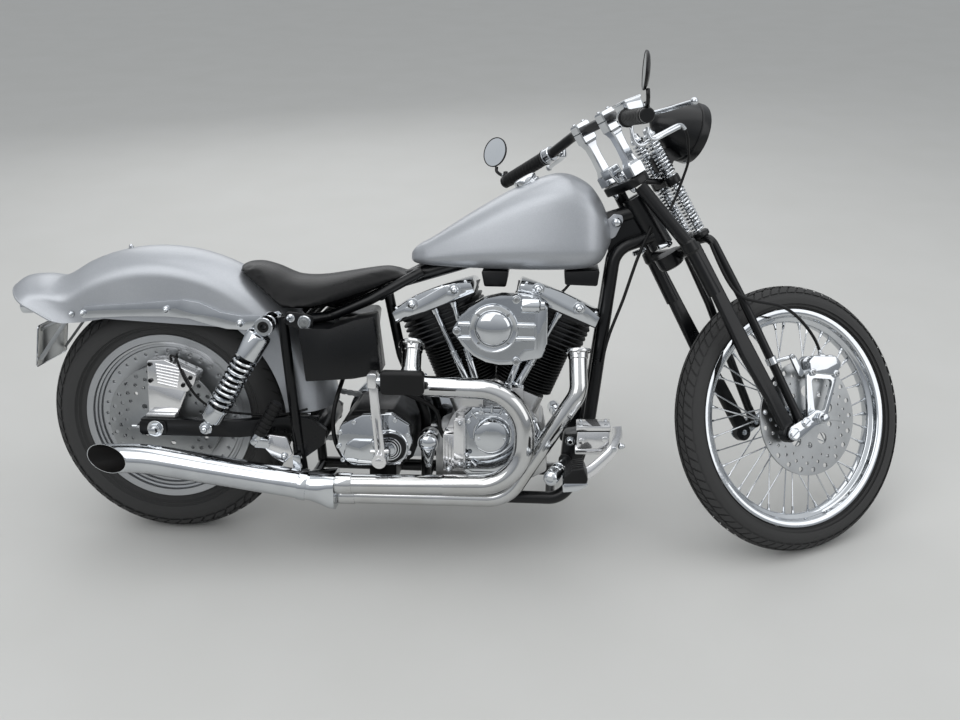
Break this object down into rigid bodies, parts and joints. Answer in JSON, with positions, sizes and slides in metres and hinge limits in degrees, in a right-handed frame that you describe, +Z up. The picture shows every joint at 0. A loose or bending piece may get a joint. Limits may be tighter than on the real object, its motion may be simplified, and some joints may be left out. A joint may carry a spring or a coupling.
{
  "type": "chopper motorcycle",
  "caption": "Long chopper motorcycle with a springer fork, finned V engine, slim tank and side exhaust, parked leaning on its side stand.",
  "frame": {"origin": "centre of the footprint at floor level, below the middle of the parked motorcycle", "axes": "+X points forward along the motorcycle, +Y to the rider's left, +Z up"},
  "size_m": [2.3181, 0.7712, 1.2866],
  "materials": {
    "silver_paint": "satin metallic paint over sheet steel",
    "black_paint": "satin black paint",
    "engine_black": "matt black heat-proof paint with machined fin edges",
    "chrome": "mirror bright plating",
    "polished_aluminium": "polished",
    "cast_aluminium": "bead-blasted casting",
    "brushed_steel": "ground stainless steel",
    "tyre_rubber": "moulded rubber with tread",
    "black_rubber": "moulded rubber",
    "black_vinyl": "smooth padded cover",
    "plate_white": "flat painted plate, left blank"
  },
  "bodies": {
    "frame": {"rear_axle": "chrome", "swingarm": "black_paint", "shocks": "chrome", "rear_fender": "silver_paint", "fender_struts": "chrome", "main_frame": "black_paint", "fuel_tank": "silver_paint", "seat": "black_vinyl", "battery_box": "black_paint", "tail_lamp": "chrome", "plate_bracket": "chrome", "licence_plate": "plate_white", "crankcase": "cast_aluminium", "cylinders": "engine_black", "rocker_boxes": "chrome", "cam_cover": "chrome", "pushrod_tubes": "chrome", "air_cleaner": "chrome", "gearbox": "polished_aluminium", "primary_cover": "chrome", "kick_starter": "chrome", "exhaust_pipes": "chrome", "muffler": "chrome", "forward_controls": "chrome", "passenger_pegs": "black_rubber", "rear_caliper": "polished_aluminium", "coil_box": "black_paint", "drive_chain": "brushed_steel"},
    "rear_wheel": {"rear_tyre": "tyre_rubber", "rear_rim": "polished_aluminium", "rear_disc": "brushed_steel"},
    "fork": {"rigid_fork": "black_paint", "front_axle": "chrome", "fork_rockers": "chrome", "spring_fork": "black_paint", "fork_springs": "chrome", "top_clamp": "black_paint", "risers": "chrome", "handlebar": "black_paint", "mirrors": "black_paint", "headlight": "black_paint", "front_caliper": "polished_aluminium", "brake_hose": "black_rubber"},
    "front_wheel": {"front_tyre": "tyre_rubber", "front_rim": "chrome", "front_disc": "brushed_steel"},
    "stand": {"side_stand": "chrome"}
  },
  "joints": [
    {"name": "rear_wheel_spin", "type": "hinge", "parent": "frame", "child": "rear_wheel", "pos_m": [-0.7689, -0.07027, 0.3131], "axis": [0, 0.9806, -0.1959], "continuous": true},
    {"name": "steering", "type": "hinge", "parent": "frame", "child": "fork", "pos_m": [0.7925, -0.07539, 0.2875], "axis": [0.524, -0.1669, -0.8352], "range_deg": [0, 63.2]},
    {"name": "front_wheel_spin", "type": "hinge", "parent": "fork", "child": "front_wheel", "pos_m": [0.84764, -0.02969, 0.31296], "axis": [-0.4463, 0.7814, -0.4362], "continuous": true},
    {"name": "side_stand", "type": "hinge", "parent": "frame", "child": "stand", "pos_m": [0.15994, 0.04538, 0.11617], "axis": [0.081, 0.547, 0.8332], "range_deg": [0, 108.9]}
  ]
}
